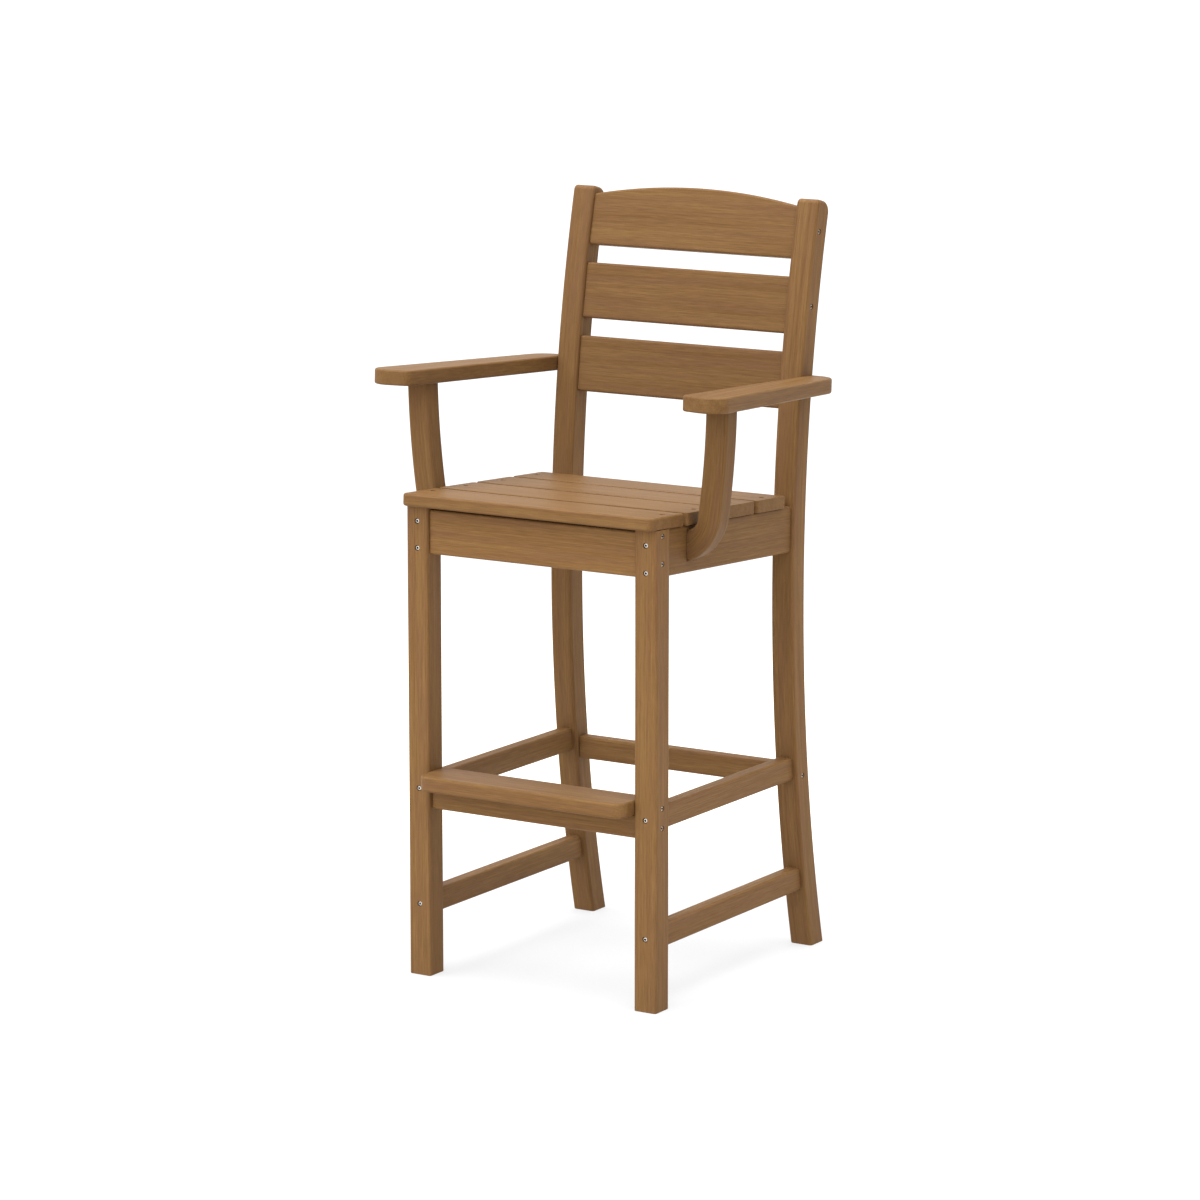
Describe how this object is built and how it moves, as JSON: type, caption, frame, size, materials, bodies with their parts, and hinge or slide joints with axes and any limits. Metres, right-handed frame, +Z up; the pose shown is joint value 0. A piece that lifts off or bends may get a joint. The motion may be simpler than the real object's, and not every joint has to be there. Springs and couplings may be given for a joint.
{
  "type": "bar chair",
  "caption": "Bar-height arm chair of round-edged lumber boards with a slatted seat and back, curved arm posts and a footrest.",
  "frame": {"origin": "on the floor, under the middle of the chair's width and depth", "axes": "+Z up, -Y the way the sitter faces, +X the sitter's left, which is to the right in the picture; the chair is symmetric in X"},
  "size_m": [0.6294, 0.5528, 1.1981],
  "materials": {
    "lumber": "satin brown plastic lumber with fine streaks along each board",
    "screw_steel": "plain stainless steel"
  },
  "bodies": {
    "root": {"front_leg_left": "lumber", "front_leg_right": "lumber", "rear_leg_left": "lumber", "rear_leg_right": "lumber", "front_apron": "lumber", "side_apron_left": "lumber", "side_apron_right": "lumber", "seat_slat_front": "lumber", "seat_slat_second": "lumber", "seat_slat_third": "lumber", "seat_slat_rear": "lumber", "back_slat_top": "lumber", "back_slat_middle": "lumber", "back_slat_lower": "lumber", "arm_left": "lumber", "arm_right": "lumber", "arm_post_left": "lumber", "arm_post_right": "lumber", "footrest_board": "lumber", "front_stretcher": "lumber", "rear_stretcher": "lumber", "upper_stretcher_left": "lumber", "upper_stretcher_right": "lumber", "lower_stretcher_left": "lumber", "lower_stretcher_right": "lumber", "front_leg_front_screws": "screw_steel", "front_leg_side_screws": "screw_steel", "rear_leg_side_screws": "screw_steel", "rear_leg_back_screws": "screw_steel", "seat_screws": "screw_steel"}
  },
  "joints": []
}
